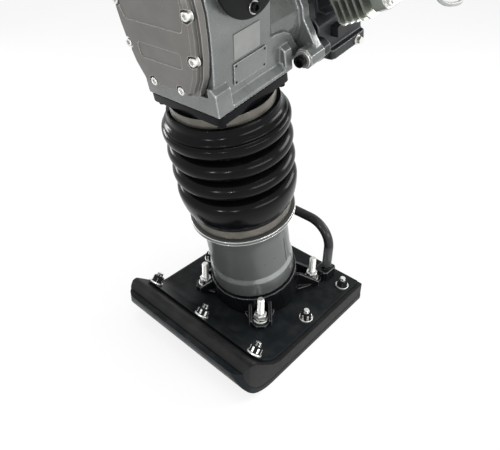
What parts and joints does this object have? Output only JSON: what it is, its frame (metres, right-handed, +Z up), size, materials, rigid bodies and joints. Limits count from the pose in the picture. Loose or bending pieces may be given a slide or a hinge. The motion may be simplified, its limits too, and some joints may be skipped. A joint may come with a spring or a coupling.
{
  "type": "tamping rammer",
  "caption": "Upright engine-driven tamping rammer: curled flat shoe, leaning spring leg with rubber bellows, crankcase, small engine and looped handle on rubber mounts.",
  "frame": {"origin": "on the ground in the machine's middle plane, under the flat part of the sole", "axes": "+Z up, front of the machine towards -Y, its left side towards +X"},
  "size_m": [0.4276, 0.676, 0.9792],
  "materials": {
    "shoe_black": "satin black",
    "pad_black": "black",
    "black_paint": "semi-gloss black",
    "silver_paint": "silver paint",
    "cast_grey": "painted die casting",
    "cover_grey": "dark painted die casting",
    "strap_steel": "plated strap",
    "machined_steel": "machined",
    "bronze": "machined",
    "zinc": "zinc plated",
    "rubber_black": "glossy black",
    "engine_grey": "dark painted die casting",
    "cast_alloy": "bare casting",
    "handle_grey": "light grey paint",
    "black_plastic": "fine grain",
    "red_plastic": "red",
    "red_foam": "foam",
    "cable_grey": "grey sheath"
  },
  "bodies": {
    "foot": {"sole_plate": "shoe_black", "shoe_pad": "pad_black", "top_plate": "shoe_black", "foot_casting": "black_paint", "lifting_loop": "black_paint", "spring_cylinder": "silver_paint", "spring_seat": "machined_steel", "lower_spring": "machined_steel", "upper_spring": "machined_steel", "lower_band": "strap_steel", "bellows": "rubber_black"},
    "machine": {"upper_band": "strap_steel", "guide_cylinder": "black_paint", "guide_bush": "bronze", "gear_bearing": "machined_steel", "pinion_bearing": "machined_steel", "crankcase": "cast_grey", "cover_gasket": "black_plastic", "front_cover": "cover_grey", "data_plate": "machined_steel", "engine_block": "engine_grey", "cylinder": "cast_alloy", "cylinder_head": "cast_alloy", "spark_plug_cap": "black_plastic", "fan_housing": "black_paint", "recoil_starter": "black_plastic", "drain_bolt": "zinc", "oil_filler_cap": "black_plastic", "muffler": "engine_grey", "muffler_guard": "black_paint", "carburettor": "cast_alloy", "air_cleaner_base": "black_plastic", "air_cleaner_cover": "black_plastic", "air_filter": "red_foam", "handle_frame": "handle_grey", "left_mount_plate": "black_paint", "right_mount_plate": "black_paint", "left_rubber_mount": "rubber_black", "right_rubber_mount": "rubber_black", "hand_grip": "rubber_black", "throttle_bracket": "black_plastic", "throttle_cable": "cable_grey", "fuel_tank": "black_plastic", "fuel_hose": "rubber_black"},
    "crank": {"crank_gear": "machined_steel"},
    "rod": {"connecting_rod": "machined_steel", "wrist_pin": "machined_steel"},
    "ram": {"piston_rod": "machined_steel", "piston": "machined_steel"},
    "pinion": {"pinion_shaft": "machined_steel"},
    "engine_shaft": {"crankshaft": "machined_steel", "left_clutch_shoe": "cast_grey", "right_clutch_shoe": "cast_grey"},
    "pull_grip": {"starter_grip": "black_plastic"},
    "choke": {"choke_lever": "black_plastic"},
    "valve": {"fuel_valve": "red_plastic"},
    "cleaner_nut": {"cleaner_knob": "black_plastic"},
    "tank_cap": {"fuel_cap": "black_plastic"},
    "roller": {"transport_roller": "rubber_black"},
    "throttle": {"throttle_lever": "black_plastic"}
  },
  "joints": [
    {"name": "leg_stroke", "type": "slide", "parent": "foot", "child": "machine", "axis": [0, -0.2079, 0.9781], "range_m": [-0.03, 0.035], "stiffness_N_per_m": 60000, "springref_m": 0.0078, "deforming": ["bellows", "lower_spring", "upper_spring"]},
    {"name": "ram_stroke", "type": "slide", "parent": "machine", "child": "ram", "axis": [0, -0.2079, 0.9781], "range_m": [0, 0.034], "deforming": ["lower_spring", "upper_spring"]},
    {"name": "crank_spin", "type": "hinge", "parent": "machine", "child": "crank", "pos_m": [0, -0.10683, 0.58076], "axis": [0, 0.9781, 0.2079], "continuous": true},
    {"name": "rod_swing", "type": "hinge", "parent": "crank", "child": "rod", "pos_m": [0, -0.1033, 0.56413], "axis": [0, 0.9781, 0.2079], "continuous": true},
    {"name": "pinion_spin", "type": "hinge", "parent": "machine", "child": "pinion", "pos_m": [0, -0.09248, 0.51327], "axis": [0, 0.9781, 0.2079], "continuous": true},
    {"name": "engine_spin", "type": "hinge", "parent": "machine", "child": "engine_shaft", "pos_m": [0, -0.09248, 0.51327], "axis": [0, 0.9781, 0.2079], "continuous": true},
    {"name": "starter_pull", "type": "slide", "parent": "machine", "child": "pull_grip", "axis": [0.5, -0.1801, 0.8471], "range_m": [0, 0.03], "stiffness_N_per_m": 300, "springref_m": -0.02},
    {"name": "choke_turn", "type": "hinge", "parent": "machine", "child": "choke", "pos_m": [0.09, 0.12209, 0.69178], "axis": [0, 0.9781, 0.2079], "range_deg": [0, 75]},
    {"name": "valve_turn", "type": "hinge", "parent": "machine", "child": "valve", "pos_m": [0.1023, 0.10051, 0.69231], "axis": [1, 0, 0], "range_deg": [0, 90]},
    {"name": "cleaner_nut_turn", "type": "hinge", "parent": "machine", "child": "cleaner_nut", "pos_m": [0.086, 0.09148, 0.76604], "axis": [0, -0.2079, 0.9781], "continuous": true},
    {"name": "cap_turn", "type": "hinge", "parent": "machine", "child": "tank_cap", "pos_m": [0.045, 0.055, 0.959], "axis": [0, 0, 1], "continuous": true},
    {"name": "roller_spin", "type": "hinge", "parent": "machine", "child": "roller", "pos_m": [0, -0.19, 0.905], "axis": [1, 0, 0], "continuous": true},
    {"name": "throttle_turn", "type": "hinge", "parent": "machine", "child": "throttle", "pos_m": [0.19, 0.3, 0.96322], "axis": [1, 0, 0], "range_deg": [0, 55]}
  ],
  "couplings": [
    {"joint": "rod_swing", "follows": "crank_spin", "ratio": -1},
    {"joint": "pinion_spin", "follows": "crank_spin", "ratio": -5.2727}
  ]
}
